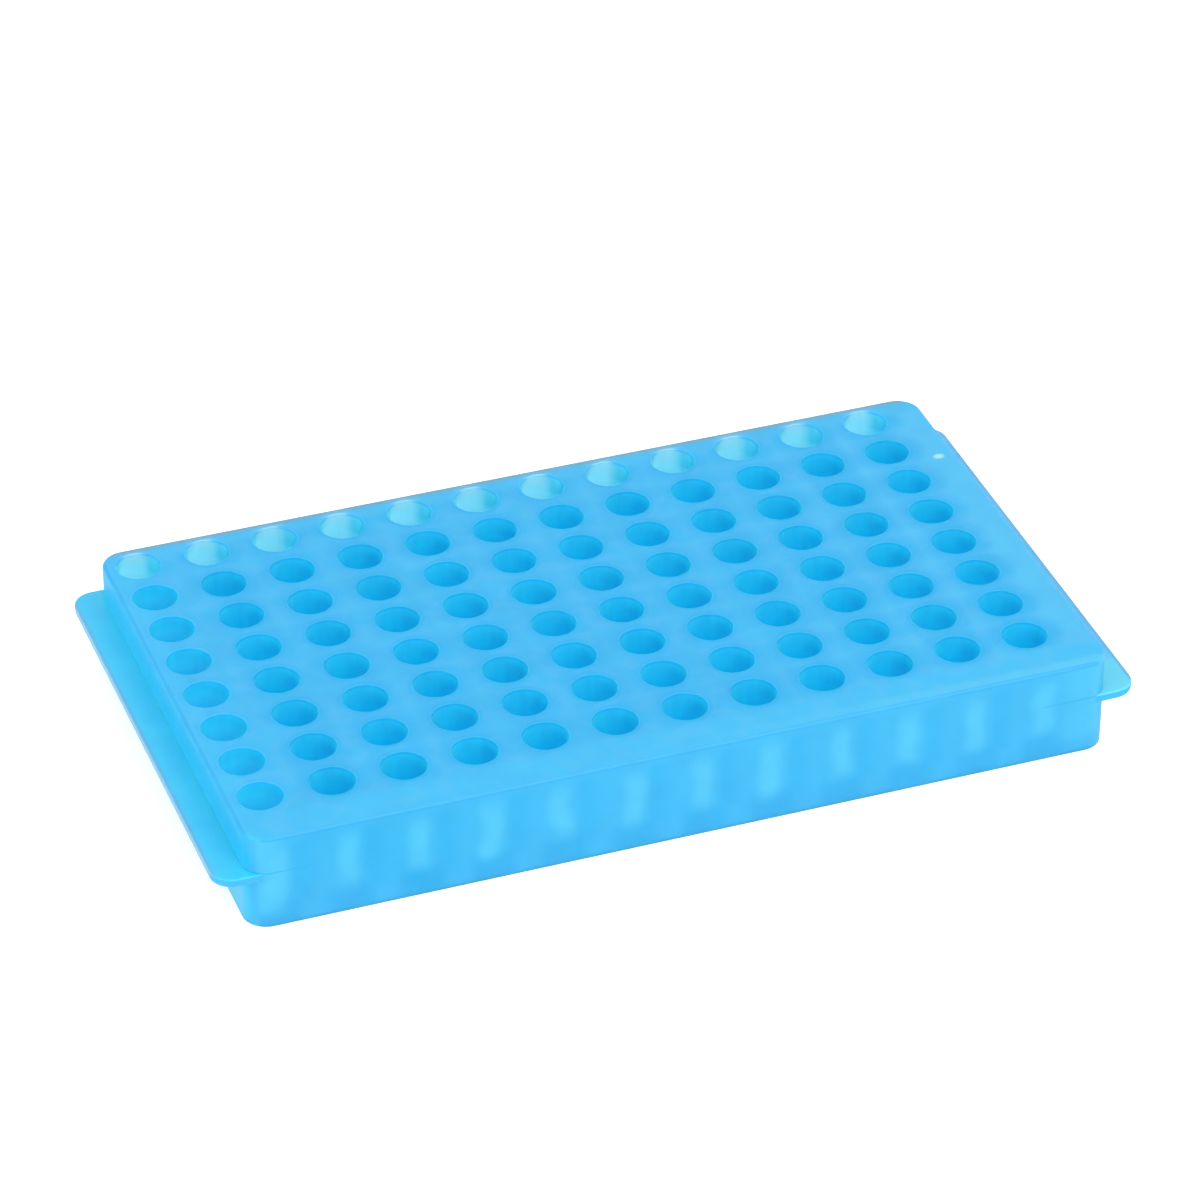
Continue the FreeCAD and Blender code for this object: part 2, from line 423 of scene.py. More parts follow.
@dataclass
class RackMoulding:
    """The one moulding, in millimetres: a skirted plate, wells in bars under it, and a ledge at each end.

    Along a quarter round of radius 1, over falls from 1 to 0 and under rises from 0 to 1.
    """

    wells: WellGrid
    corner: float = 6.0
    rim_round: float = 0.8
    plate: float = 2.0
    skirt: float = 1.8
    bar_half: float = 7.0
    bar_bevel: float = 4.1
    bar_floor: float = 1.5
    bar_end: float = 7.0
    ledge_reach: float = 7.6
    ledge_inset: float = 0.4
    ledge_corner: float = 5.5
    ledge_low: float = 13.0
    ledge_high: float = 15.4
    ledge_round: float = 0.35
    ledge_under: float = 0.8
    foot_round: float = 0.2
    well_lip: float = 0.22
    well_root: float = 0.7
    bar_edge: float = 0.3
    step: float = 1.2
    round_steps: int = 4
    corner_steps: int = 6
    square_degrees: float = 80.0
    crease_degrees: float = 38.0
    skin: Skin = field(default_factory=Skin)

    def __post_init__(self) -> None:
        """Reads the outer size from the frame and lays out the lines of the plan."""
        _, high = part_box("tube_rack")
        self.top = high[2] / MM
        self.half_x = high[0] / MM - self.ledge_reach
        self.half_y = high[1] / MM
        self.core = np.array([self.half_x - self.corner, self.half_y - self.corner])
        self.well_floor = self.top - self.wells.depth
        self.bar_foot = self.well_floor - self.bar_floor
        self.ceiling = self.top - self.plate
        self.bars_front = self.wells.front_y - self.bar_end
        turn = np.linspace(0.0, QUARTER_TURN, self.round_steps + 1)
        self.over, self.under = 1 - np.sin(turn), 1 - np.cos(turn)
        self._lay_lines()

    # ---- plan

    def _ledge_angle(self) -> float:
        """Returns the angle, from the x direction, at which the ledge's edge leaves the corner's round."""
        return math.asin((self.corner - self.ledge_inset) / self.corner)

    def _lay_lines(self) -> None:
        """Lays the plan's lines. Each has a place in the core, and a share, up to 1, of its corner zone."""
        along_y = math.sqrt(2) * np.sin(np.linspace(0.0, EIGHTH_TURN, self.corner_steps + 1))[1:]
        step = EIGHTH_TURN / (self.corner_steps - 1)
        angles = spaced((EIGHTH_TURN, self._ledge_angle(), QUARTER_TURN), step)
        along_x = math.sqrt(2) * np.cos(angles[::-1])[1:]
        columns, rows = self.wells.column_x(), self.wells.row_y()
        between_x = (columns[:-1] + columns[1:]) / 2
        between_y = (rows[:-1] + rows[1:]) / 2
        sides = np.concatenate([columns[1:] - self.bar_half, columns + self.bar_half])
        places_x = spaced([-self.core[0], *columns, *between_x, *sides, self.core[0]], self.step)
        bevel = self._wall_bevel_y()
        places_y = spaced([-self.core[1], bevel, *rows, *between_y, self.core[1]], self.step)
        self.line_x = self._with_zones(places_x, along_x, self.core[0])
        self.line_y = self._with_zones(places_y, along_y, self.core[1])
        self.cell_x = self._cell_lines(self.line_x, between_x)
        self.cell_y = self._cell_lines(self.line_y, between_y)
        self.across, self.along = len(self.line_x) - 1, len(self.line_y) - 1
        self.around = 2 * (self.across + self.along)

    def _wall_bevel_y(self) -> float:
        """Returns the y at which the first bar's bevel meets the skirt's inner face."""
        left = self.wells.first_x - self.bar_half
        return self.bars_front + self.bar_bevel - (-self.half_x + self.skirt - left)

    @staticmethod
    def _with_zones(places: np.ndarray, shares: np.ndarray, core: float) -> np.ndarray:
        """Args:
            places: the lines in the core.
            shares: the shares of the lines in a corner zone, without 0.
            core: half the core's size.

        Returns:
            Lines as rows of (place, share), from low to high.
        """
        low = np.stack([np.full(len(shares), -core), -shares[::-1]], -1)
        middle = np.stack([places, np.zeros(len(places))], -1)
        high = np.stack([np.full(len(shares), core), shares], -1)
        return np.vstack([low, middle, high])

    @staticmethod
    def _cell_lines(lines: np.ndarray, between: np.ndarray) -> list[int]:
        """Returns the numbers of the lines that part the cells, the outermost lines included."""
        return [0, *(nearest(lines[:, 0], place) for place in between), len(lines) - 1]

    def plan(self, i: np.ndarray, j: np.ndarray, inset: float) -> np.ndarray:
        """Maps lines to the plan. With a and b the two lines' shares and r the corner's radius less the
        inset, x is the core's place plus r a sqrt(1 - b b / 2), and y is the core's place plus
        r b sqrt(1 - a a / 2), so that the outermost lines give the outline with its round corners.

        Args:
            i: numbers of lines across x.
            j: numbers of lines across y.
            inset: how far the outline is drawn in.

        Returns:
            Points as ... x 2.
        """
        radius = self.corner - inset
        (x, a), (y, b) = self.line_x[i].T, self.line_y[j].T
        across = radius * a * np.sqrt(1 - b * b / 2)
        along = radius * b * np.sqrt(1 - a * a / 2)
        return np.stack([(x + across).T, (y + along).T], -1)

    @staticmethod
    def _border(left: int, right: int, front: int, back: int) -> tuple[np.ndarray, np.ndarray]:
        """Goes round a block of cells, anticlockwise from its front left corner.

        Args:
            left, right: the numbers of its outer lines across x.
            front, back: the numbers of its outer lines across y.

        Returns:
            The numbers of the lines across x and across y, point by point.
        """
        i = np.concatenate([
            np.arange(left, right), np.full(back - front, right),
            np.arange(right, left, -1), np.full(back - front, left),
        ])
        j = np.concatenate([
            np.full(right - left, front), np.arange(front, back),
            np.full(right - left, back), np.arange(back, front, -1),
        ])
        return i, j

    def outline(self, inset: float) -> np.ndarray:
        """Returns the skirt's outline, drawn in by an inset, as points x 2."""
        return self.plan(*self._border(0, self.across, 0, self.along), inset)

    # ---- surfaces

    def _top_and_wells(self) -> None:
        """Adds the top face cell by cell, each with its well."""
        for column, x in enumerate(self.wells.column_x()):
            for row, y in enumerate(self.wells.row_y()):
                border = self._border(*self.cell_x[column : column + 2], *self.cell_y[row : row + 2])
                self._well(self.plan(*border, self.rim_round), np.array([x, y]))

    def _well(self, edge: np.ndarray, centre: np.ndarray) -> None:
        """Turns the well's profile about its axis: lip, wall, root and floor. Each meridian stands at the
        polar angle of one point of the cell's edge, so that the flat round the lip is one band of quads.

        Args:
            edge: the cell's outline, points x 2.
            centre: the well's axis in plan.
        """
        radius = self.wells.radius
        lip_r, lip_z = radius + self.well_lip * self.over, self.top - self.well_lip * self.under
        root_r, root_z = radius - self.well_root * self.under, self.well_floor + self.well_root * self.over
        profile_r, profile_z = np.concatenate([lip_r, root_r]), np.concatenate([lip_z, root_z])
        out = edge - centre
        out /= np.linalg.norm(out, axis=1)[:, None]
        rings = lift(centre + profile_r[:, None, None] * out, profile_z[:, None])
        self.skin.bands(np.concatenate([lift(edge, self.top)[None], rings]))
        self.skin.fan(rings[-1], np.array([*centre, self.well_floor]))

    def _skirt_outside(self) -> None:
        """Carries the profile round the outline: the rim's round, the wall, and the foot's rounded ring."""
        rim_z = self.top - self.rim_round * self.under
        self.skin.bands(stacked(map(self.outline, self.rim_round * self.over), rim_z))
        whole = self.outline(0.0)
        upper, lower = (self.top - self.rim_round, self.ledge_high), (self.ledge_low, self.foot_round)
        self.skin.bands(stacked([whole] * 2, upper))
        self.skin.bands(stacked([whole] * 2, lower))
        heights = self._ledge_profile()[1]
        for run in self._open_runs():
            self.skin.bands(stacked([whole[run]] * len(heights), heights), closed=False)
        outer, inner = self.foot_round * self.under, self.foot_round * self.over
        drawn = np.concatenate([outer, self.skirt - inner])
        foot = np.concatenate([inner, outer])
        self.skin.bands(stacked(map(self.outline, drawn), foot))

    def _ledge_profile(self) -> tuple[np.ndarray, np.ndarray]:
        """Returns how far a ledge's edge is drawn in from its top to its underside, and the heights."""
        drawn = np.concatenate([self.ledge_round * self.over, self.ledge_under * self.under])
        upper = self.ledge_high - self.ledge_round * self.under
        lower = self.ledge_low + self.ledge_under * self.over
        return drawn, np.concatenate([upper, lower])

    def _ledge_run(self, side: Side) -> np.ndarray:
        """Args:
            side: the end of the rack.

        Returns:
            The numbers of the outline's points along its ledge, anticlockwise, ends included.
        """
        share = math.sqrt(2) * math.cos(self._ledge_angle())
        reach = self.across - nearest(self.line_x[:, 1], share)
        corner = self.across if side is Side.RIGHT else 2 * self.across + self.along
        return (corner - reach + np.arange(2 * reach + self.along + 1)) % self.around

    def _open_runs(self) -> list[np.ndarray]:
        """Returns the numbers of the outline's points between the ledges, along the back and the front."""
        right, left = self._ledge_run(Side.RIGHT), self._ledge_run(Side.LEFT)
        return [np.arange(right[-1], left[0] + 1), np.arange(left[-1], right[0] + 1)]

    def _ledge(self, run: np.ndarray) -> None:
        """Adds one ledge as rings from the skirt out to the ledge's edge and back. With t the angle round
        the skirt's corner, the ledge's own corner turns by 2 t for t up to 45 degrees. Past that its side
        runs straight to where it leaves the skirt, and there the rings close up.

        Args:
            run: the numbers of the outline's points along the ledge.
        """
        wall = self.outline(0.0)[run]
        sign = np.where(wall < 0, -1.0, 1.0)
        past = np.maximum(np.abs(wall) - self.core, 0.0)
        angle = np.arctan2(past[:, 1], np.maximum(past[:, 0], TINY))
        last = self._ledge_angle()
        tip = np.array([self.half_x + self.ledge_reach, self.half_y - self.ledge_inset])
        centre = tip - self.ledge_corner
        leave = self.core[0] + self.corner * math.cos(last)
        swing = np.minimum(2 * angle, QUARTER_TURN)
        out = np.stack([np.cos(swing), np.sin(swing)], -1)
        edge = centre + self.ledge_corner * out
        straight = np.clip((angle - EIGHTH_TURN) / (last - EIGHTH_TURN), 0.0, 1.0)
        edge[:, 0] -= straight * (centre[0] - leave)
        edge[:, 1] = np.where(past[:, 1] <= TINY, np.abs(wall[:, 1]), edge[:, 1])
        width = np.linalg.norm(edge - np.abs(wall), axis=1)
        fade = np.minimum(width / self.ledge_under / 2, 1.0)
        drawn, heights = self._ledge_profile()
        rings = (edge - drawn[:, None, None] * (out * fade[:, None])) * sign
        top, low = lift(wall, self.ledge_high), lift(wall, self.ledge_low)
        self.skin.bands(np.concatenate([top[None], lift(rings, heights[:, None]), low[None]]), closed=False)

    def _underside(self) -> None:
        """Adds the hollow under the plate. One comb-shaped panel is the ceiling round the bars, walls drop
        from its outline to the bars' feet, a panel closes each foot, and the skirt's inner face goes on."""
        wall = self.outline(self.skirt)
        self.skin.bands(stacked([wall] * 2, (self.foot_round, self.bar_foot)))
        back_left = 2 * self.across + self.along
        start = back_left + nearest(wall[back_left:, 1], self._wall_bevel_y())
        back = np.arange(self.across + self.along, back_left + 1)
        columns = self.wells.column_x()
        rights = [int(back[nearest(wall[back, 0], x + self.bar_half)]) for x in columns]
        lefts = [start, *(int(back[nearest(wall[back, 0], x - self.bar_half)]) for x in columns[1:])]
        comb = [wall[np.arange(start, rights[-1] + self.around + 1) % self.around]]
        for number in range(len(columns) - 1, -1, -1):
            end = self._bar_end(columns[number], number == 0)
            foot = np.vstack([end[::-1], wall[rights[number] : lefts[number] + 1]])
            self.skin.panel(lift(foot, self.bar_foot))
            comb.append(end)
            if number:
                comb.append(wall[lefts[number] : rights[number - 1] + 1])
        rim = np.vstack(comb)
        self.skin.panel(lift(rim, self.ceiling))
        self.skin.bands(stacked([rim] * 2, (self.ceiling, self.bar_foot)))

    def _bar_end(self, x: float, at_wall: bool) -> np.ndarray:
        """Args:
            x: the bar's axis.
            at_wall: whether the bar's left side is in the skirt.

        Returns:
            The corners of its bevelled front end, from right to left, without those on the skirt.
        """
        front, deep = self.bars_front, self.bars_front + self.bar_bevel
        side, flat = self.bar_half, self.bar_half - self.bar_bevel
        corners = [(x + side, deep), (x + flat, front), (x - flat, front), (x - side, deep)]
        return np.array(corners[:-1] if at_wall else corners)

    # ---- the finished piece

    def build(self) -> bpy.types.Object:
        """Makes the moulding.

        Returns:
            The object, which stands for the rack's CAD node.
        """
        self._top_and_wells()
        self._skirt_outside()
        for side in (Side.RIGHT, Side.LEFT):
            self._ledge(self._ledge_run(side))
        self._underside()
        mesh = self.skin.mesh("rack_moulding")
        self._mark_edges(mesh)
        piece = bpy.data.objects.new("rack_moulding", mesh)
        bpy.context.scene.collection.objects.link(piece)
        bevel = piece.modifiers.new("bar_edges", "BEVEL")
        bevel.width = self.bar_edge * MM
        bevel.segments = 2
        bevel.limit_method = "WEIGHT"
        bevel.use_clamp_overlap = False
        smooth = piece.modifiers.new("flat_faces", "WEIGHTED_NORMAL")
        smooth.keep_sharp = True
        smooth.weight = 100
        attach(piece, "root")
        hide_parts("tube_rack")
        return piece

    def _mark_edges(self, mesh: bpy.types.Mesh) -> None:
        """Marks the sharp edges, and gives the bars' square edges the weight that rounds them.

        Args:
            mesh: the sewn moulding.
        """
        mesh.shade_smooth()
        mesh.set_sharp_from_angle(angle=math.radians(self.square_degrees))
        square = np.zeros(len(mesh.edges), bool)
        mesh.attributes["sharp_edge"].data.foreach_get("value", square)
        ends = np.zeros(2 * len(mesh.edges), np.int32)
        mesh.edges.foreach_get("vertices", ends)
        points = np.zeros(3 * len(mesh.vertices), np.float32)
        mesh.vertices.foreach_get("co", points)
        heights = points.reshape(-1, 3)[ends.reshape(-1, 2), 2]
        at_foot = (np.abs(heights - self.bar_foot * MM) < self.skin.sew * MM).all(axis=1)
        weight = (square & at_foot).astype(np.float32)
        mesh.attributes.new("bevel_weight_edge", "FLOAT", "EDGE").data.foreach_set("value", weight)
        mesh.set_sharp_from_angle(angle=math.radians(self.crease_degrees))


# ---- finishes


class Place:
    """Where a shaded point lies on the rack, and soft masks, from 0 to 1, of its regions and its painted
    light and shade.

    All lengths are millimetres: x, y and z; u and v, the offsets from the nearest well's axis; rim, how far
    out from that well's wall; deep, how far under the top; left, right, front and back, how far inwards
    from the body's faces; reach, how far inwards from the ledges' outer faces; past_first and past_last,
    how far to the right of the first and the last column; and before, how far in front of the front row.
    behind is the share of a well's radius behind the back row's axes, and wobble makes edges uneven.
    """

    wobble_spot: Span = (11.0, 7.0)
    wobble_across: float = 3.0
    wobble_upright: float = 5.0

    def __init__(self, nodes: NodeSheet, rack: RackMoulding) -> None:
        """Args:
            nodes: the material's nodes.
            rack: the moulding.
        """
        wells = rack.wells
        self.nodes, self.rack = nodes, rack
        self.xyz = nodes.position()
        self.x, self.y, self.z = self.xyz
        self.u = self._from_nearest(self.x, wells.first_x, wells.column_pitch, wells.columns)
        self.v = self._from_nearest(self.y, wells.front_y, wells.row_pitch, wells.rows)
        self.rim = self.u.hypot(self.v) - wells.radius
        self.deep = rack.top - self.z
        self.left = self.x + rack.half_x
        self.right = rack.half_x - self.x
        self.front = self.y + rack.half_y
        self.back = rack.half_y - self.y
        self.reach = rack.half_x + rack.ledge_reach - abs(self.x)
        self.past_first = self.x - wells.first_x
        self.past_last = self.x - wells.last_x
        self.before = wells.front_y - self.y
        self.behind = (self.y - wells.back_y) / wells.radius
        self.wobble = nodes.noise(self.xyz, self.wobble_spot, 0.0) - 0.5

    @staticmethod
    def _from_nearest(place: Signal, first: float, pitch: float, count: int) -> Signal:
        """Args:
            place: x or y.
            first: the place of the first column or row.
            pitch: the distance to the next.
            count: how many there are.

        Returns:
            The offset from the nearest of them.
        """
        number = ((place - first) / pitch).rounded().most(0.0).least(count - 1.0)
        return place - first - pitch * number

    # ---- plate

    def first_column(self) -> Signal:
        """Masks the first column's cells, beside the left wall."""
        return self.past_first.rise(10.0, 7.0)

    def ring(self) -> Signal:
        """Masks the painted shade on the plate close round each well, less at the front and in the first
        column.
        """
        ring = self.rim.rise(5.6, 1.4) * (1.0 - 0.7 * self.before.rise(4.0, 9.0))
        return ring * (1.0 - 0.7 * self.first_column())

    def well_rim_shade(self) -> Signal:
        """Masks the narrow ring of painted shade at the wells' rims."""
        ring = self.rim.rise(1.7, 0.3) * (1.0 - self.behind.rise(0.0, 0.5))
        return ring * (1.0 - 0.65 * self.first_column())

    def behind_back_row(self) -> Signal:
        """Masks the thin wall between the back row's wells and the skirt, as it shows at the top, where
        light through it is painted.
        """
        return self.behind.rise(0.65, 0.95) * abs(self.u).rise(5.4, 0.2)

    def back_rim_shade(self) -> Signal:
        """Masks the painted shade line along the back rim, less by the wells."""
        return self.back.rise(2.7, 1.0) * (1.0 - 0.25 * self.behind_back_row())

    def glint(self, x: float, y: float) -> Signal:
        """Masks a painted glint on the plate, a small pale oval round x and y."""
        across, along = 0.6 * (self.x - x), 0.8 * (self.y - y)
        return (across * across + along * along).rise(1.3, 0.0) * self.z.above(self.rack.top - 0.5)

    # ---- skirt

    def front_wall(self) -> Signal:
        """Masks the skirt's front face."""
        skirt = self.rack.skirt
        return self.front.rise(0.9 * skirt, 0.3 * skirt) * self.deep.rise(0.25, self.rack.rim_round)

    def left_wall(self) -> Signal:
        """Masks the skirt's left face."""
        rim = self.rack.rim_round
        return self.left.band(-0.3, -0.05, 0.5 * rim, 2.0 * rim) * (1.0 - self.front_wall())

    def corner_shade_line(self) -> Signal:
        """Masks the painted shade line, upright, where the front turns into the right side."""
        turned = self.front.rise(self.rack.corner + 0.5, self.rack.corner - 1.5)
        return self.right.rise(1.2, 0.3) * turned * self.deep.rise(0.6, 2.0)

    def bar_end(self) -> Signal:
        """Masks the painted light on the front wall: a soft pale patch where light comes through each bar's
        end.
        """
        across = (self.u + self.wobble_across * self.wobble).band(-6.2, -2.2, -1.0, 2.4)
        up = (self.z + self.wobble_upright * self.wobble).rise(4.8, 11.0)
        return across * up * self.z.rise(25.5, 18.0)

    def bar_shade(self) -> Signal:
        """Masks the painted shade beside and under each bar's end on the front wall."""
        beside = self.u.band(1.6, 3.6, 4.4, 9.5) * self.z.band(4.0, 9.0, 21.0, 25.0)
        under = self.u.band(-8.6, -4.6, 2.4, 6.0) * self.z.rise(9.5, 5.5)
        return beside.most(under) * (1.0 - 0.8 * self.past_bars_light())

    def past_bars_light(self) -> Signal:
        """Masks the painted light on the front wall's ends, outside the first and the last bar."""
        return self.past_first.rise(2.0, -2.5).most(self.past_last.rise(-1.0, 8.0)) * self.z.rise(1.5, 6.5)

    def parting(self) -> Signal:
        """Masks the mould's parting line, level with the ledges, at the front wall's ends."""
        ends = self.left.least(self.right).rise(20.0, 14.0)
        return ends * abs(self.z - self.rack.ledge_high).rise(0.35, 0.1)

    def foot(self) -> Signal:
        """Masks the painted shade at the skirt's foot."""
        return self.z.rise(1.2, 0.5)

    # ---- ledges

    def ledge(self, side: Side) -> Signal:
        """Masks one ledge. It lies further from the corner zones' centres than the corners' radius.

        Args:
            side: the end of the rack.

        Returns:
            The mask.
        """
        past_x = (side.value * self.x - self.rack.core[0]).most(0.0)
        past_y = (abs(self.y) - self.rack.core[1]).most(0.0)
        outside = (past_x.hypot(past_y) - self.rack.corner).rise(0.02, 0.1)
        return outside * past_x.rise(0.0, 0.1) * (self.z - self.rack.ledge_high).rise(0.1, 0.03)

    def ledge_front_shade(self) -> Signal:
        """Masks the painted shade on the ledges' edges at their front ends, under their top."""
        ledges = self.ledge(Side.LEFT).most(self.ledge(Side.RIGHT))
        return (self.rack.ledge_high - self.z).rise(0.15, 0.4) * self.front.rise(6.0, 3.0) * ledges

    # ---- wells

    def in_well(self) -> Signal:
        """Masks the wells' linings, lips included."""
        lip = self.rack.well_lip
        return self.rim.rise(lip + 0.06, lip) * self.z.above(self.rack.well_floor - 0.3)

    def lit_patch(self) -> Signal:
        """Masks the back row's linings where the back wall lights them most, soft at its right."""
        return self.behind.rise(0.58, 0.8) * self.u.rise(5.0, 1.6)


@dataclass(frozen=True)
class Polypropylene:
    """Translucent coloured polypropylene with a satin mould face. Its tones are laid on by place, most of
    them painted
    light and shade: thin walls painted paler for the light that comes through them, thick places deeper."""

    plate: Colour = (0.031, 0.518, 0.90)
    # painted shade round the wells and at their rims
    ring: Colour = (0.02, 0.485, 0.88)
    well_rim_shade: Colour = (0.0, 0.472, 0.855)
    haze: Colour = (0.11, 0.56, 0.96)
    # painted light: paler at the plate's margins and behind its front edge
    front_edge_light: Colour = (0.082, 0.60, 0.985)
    margin: Colour = (0.036, 0.542, 0.985)
    right_margin_light: Colour = (0.063, 0.555, 0.965)
    # painted shade on the rim's round and along the front's right corner
    left_rim_shade: Colour = (0.016, 0.455, 0.84)
    front_rim_shade: Colour = (0.05, 0.492, 0.82)
    right_rim_shade: Colour = (0.055, 0.41, 0.83)
    corner_shade_line: Colour = (0.05, 0.43, 0.78)
    wall: Colour = (0.062, 0.524, 0.865)
    # painted shade beside and under the bars' ends, painted light over them and outside the end bars
    shade: Colour = (0.048, 0.503, 0.85)
    shade_low: Colour = (0.044, 0.484, 0.83)
    bar_end: Colour = (0.103, 0.61, 0.91)
    past_bars_light: Colour = (0.084, 0.572, 0.885)
    # the left face's tones, with painted light that is palest just over the ledge
    end_wall: Colour = (0.024, 0.52, 0.88)
    end_wall_low_lit: Colour = (0.032, 0.595, 0.92)
    end_wall_foot_lit: Colour = (0.044, 0.608, 0.89)
    # painted light on the thin ledges and their outer faces, painted shade at their edges and front ends
    left_ledge: Colour = (0.05, 0.645, 0.965)
    left_ledge_in: Colour = (0.053, 0.695, 1.0)
    right_ledge: Colour = (0.155, 0.75, 0.98)
    right_ledge_far: Colour = (0.13, 0.61, 0.955)
    ledge_edge_shade: Colour = (0.16, 0.475, 0.70)
    ledge_face_light: Colour = (0.23, 0.56, 0.80)
    ledge_front_shade: Colour = (0.065, 0.53, 0.87)
    # painted shade at the skirt's foot and along the back rim
    foot: Colour = (0.062, 0.41, 0.70)
    back_rim_shade: Colour = (0.16, 0.425, 0.60)
    back_margin: Colour = (0.048, 0.525, 0.89)
    # painted light through the thin wall behind the back row
    thin_top_light: Colour = (0.20, 0.605, 0.89)
    # painted light and shade in the wells' linings
    lip: Colour = (0.02, 0.50, 0.82)
    lip_near_lit: Colour = (0.035, 0.52, 0.91)
    lip_left_shade: Colour = (0.02, 0.45, 0.82)
    lip_back_row_lit: Colour = (0.11, 0.56, 0.90)
    lip_first_lit: Colour = (0.045, 0.57, 0.93)
    well: Colour = (0.034, 0.715, 0.955)
    well_deep_lit: Colour = (0.021, 0.875, 0.99)
    well_left_lit: Colour = (0.05, 0.77, 0.98)
    well_right_shade: Colour = (0.018, 0.705, 0.95)
    well_end_lit: Colour = (0.073, 0.83, 0.955)
    half_lit: Colour = (0.11, 0.735, 0.945)
    backlit: Colour = (0.28, 0.82, 0.955)
    half_lit_top: Colour = (0.11, 0.63, 0.84)
    lit_top: Colour = (0.35, 0.75, 0.90)
    no_glow: Colour = (0.0, 0.0, 0.0)
    well_glow: Colour = (0.002, 0.021, 0.075)
    end_glow: Colour = (0.009, 0.040, 0.098)
    half_glow: Colour = (0.014, 0.090, 0.055)
    half_glow_deep: Colour = (0.04, 0.19, 0.13)
    back_glow: Colour = (0.068, 0.125, 0.04)
    back_glow_deep: Colour = (0.105, 0.215, 0.165)
    # a painted glint
    glint: Colour = (0.42, 0.82, 1.0)
    glint_at: tuple[float, float] = (104.0, 34.0)
    # where the painted light behind the front edge runs, and where the right ledge's painted light fades
    line_x: Span = (-20.0, 100.0)
    far_end_y: Span = (-52.0, -44.0)
    scatter: Colour = (0.5, 0.8, 1.0)
    scatter_mm: float = 1.2
    refraction: float = 1.49
    satin: Span = (0.38, 0.47)
    satin_spot: Span = (0.8, 0.8)
    cloud: Span = (0.94, 1.06)
    cloud_spot: Span = (9.0, 9.0)
    haze_share: float = 0.25
    haze_spot: Span = (6.0, 12.0)
    streak: Span = (0.89, 1.0)
    streak_spot: Span = (1.6, 40.0)

    def material(self, rack: RackMoulding) -> bpy.types.Material:
        """Makes the material.

        Args:
            rack: the moulding, whose wells and walls the tones follow.

        Returns:
            The material.
        """
        material = bpy.data.materials.new("satin_polypropylene")
        material.use_nodes = True
        material.cycles.emission_sampling = "NONE"
        nodes = NodeSheet(material.node_tree)
        at = Place(nodes, rack)
        colour = nodes.mix(at.in_well(), self._outside(at), self._lining(at))
        surface = nodes.add("ShaderNodeBsdfPrincipled", {"subsurface_method": "RANDOM_WALK"}, {
            "Base Color": nodes.shaded(colour, nodes.noise(at.xyz, self.cloud_spot).span(*self.cloud)),
            "Roughness": nodes.noise(at.xyz, self.satin_spot).span(*self.satin),
            "IOR": self.refraction,
            "Subsurface Weight": 1.0,
            "Subsurface Radius": self.scatter,
            "Subsurface Scale": self.scatter_mm * MM,
            "Emission Color": self._light_through(at),
            "Emission Strength": 1.0,
        })
        nodes.add("ShaderNodeOutputMaterial", inputs={"Surface": surface})
        return material

    def _outside(self, at: Place) -> Tone:
        """Args:
            at: the place.

        Returns:
            The colour of the plate, the skirt and the ledges, with painted light and shade laid on by
            place.
        """
        mix = at.nodes.mix
        haze = at.nodes.noise(at.xyz, self.haze_spot).rise(0.42, 0.68)
        return at.nodes.layers(self.plate, [
            # painted light at the margins and behind the front edge, painted shade round the wells
            (at.past_last.rise(-3.0 * at.rack.wells.column_pitch, 10.0), self.right_margin_light),
            (at.ring(), self.ring),
            (at.past_first.rise(-1.5, -4.5).most(at.before.rise(5.5, 9.5)), self.margin),
            (at.x.rise(*self.line_x) * at.front.band(0.5, 1.0, 2.0, 4.5), self.front_edge_light),
            (self.haze_share * haze, self.haze),
            (at.behind.rise(0.0, 0.8), self.back_margin),
            # painted shade at the wells' rims, painted light through the thin wall behind the back row, and
            # a painted shade line along the back rim
            (at.well_rim_shade(), self.well_rim_shade),
            (0.9 * at.behind_back_row(), self.thin_top_light),
            (at.back_rim_shade(), self.back_rim_shade),
            (at.deep.rise(1.0, 1.6), self.wall),
            (at.left_wall(), self._left_face(at)),
            # painted shade on the rim's round, and a painted shade line at the front's right corner
            (at.left.rise(1.1, 0.6) * at.deep.rise(0.8, 0.3), self.left_rim_shade),
            (at.front_wall(), self._front_face(at)),
            (at.front.rise(0.75, 0.5) * at.deep.rise(1.2, 0.7), self.front_rim_shade),
            (at.right.rise(0.8, 0.2) * at.deep.rise(2.2, 0.8), self.right_rim_shade),
            (at.corner_shade_line(), self.corner_shade_line),
            # painted light on the thin ledges and their outer faces, painted shade at their edges and front
            # ends
            (at.ledge(Side.LEFT), mix(at.left.rise(-2.6, -0.2), self.left_ledge, self.left_ledge_in)),
            (at.ledge(Side.RIGHT), mix(at.y.rise(*self.far_end_y), self.right_ledge, self.right_ledge_far)),
            (at.reach.rise(1.5, 0.2), self.ledge_edge_shade),
            (at.reach.rise(0.2, 0.05), self.ledge_face_light),
            (at.ledge_front_shade(), self.ledge_front_shade),
            # a painted glint
            (at.glint(*self.glint_at), self.glint),
        ])

    def _front_face(self, at: Place) -> Tone:
        """Args:
            at: the place.

        Returns:
            The colour of the skirt's front face, with painted light where the bars' ends stand behind it
            and painted shade beside and under them.
        """
        return at.nodes.layers(self.wall, [
            # painted shade beside and under each bar's end, painted light outside the end bars and over
            # each bar's end
            (at.bar_shade(), at.nodes.mix(at.deep.rise(15.5, 19.5), self.shade, self.shade_low)),
            (at.past_bars_light(), self.past_bars_light),
            (at.bar_end(), self.bar_end),
            (0.7 * at.parting(), self.shade_low),
            # painted shade at the foot
            (at.foot(), self.foot),
        ])

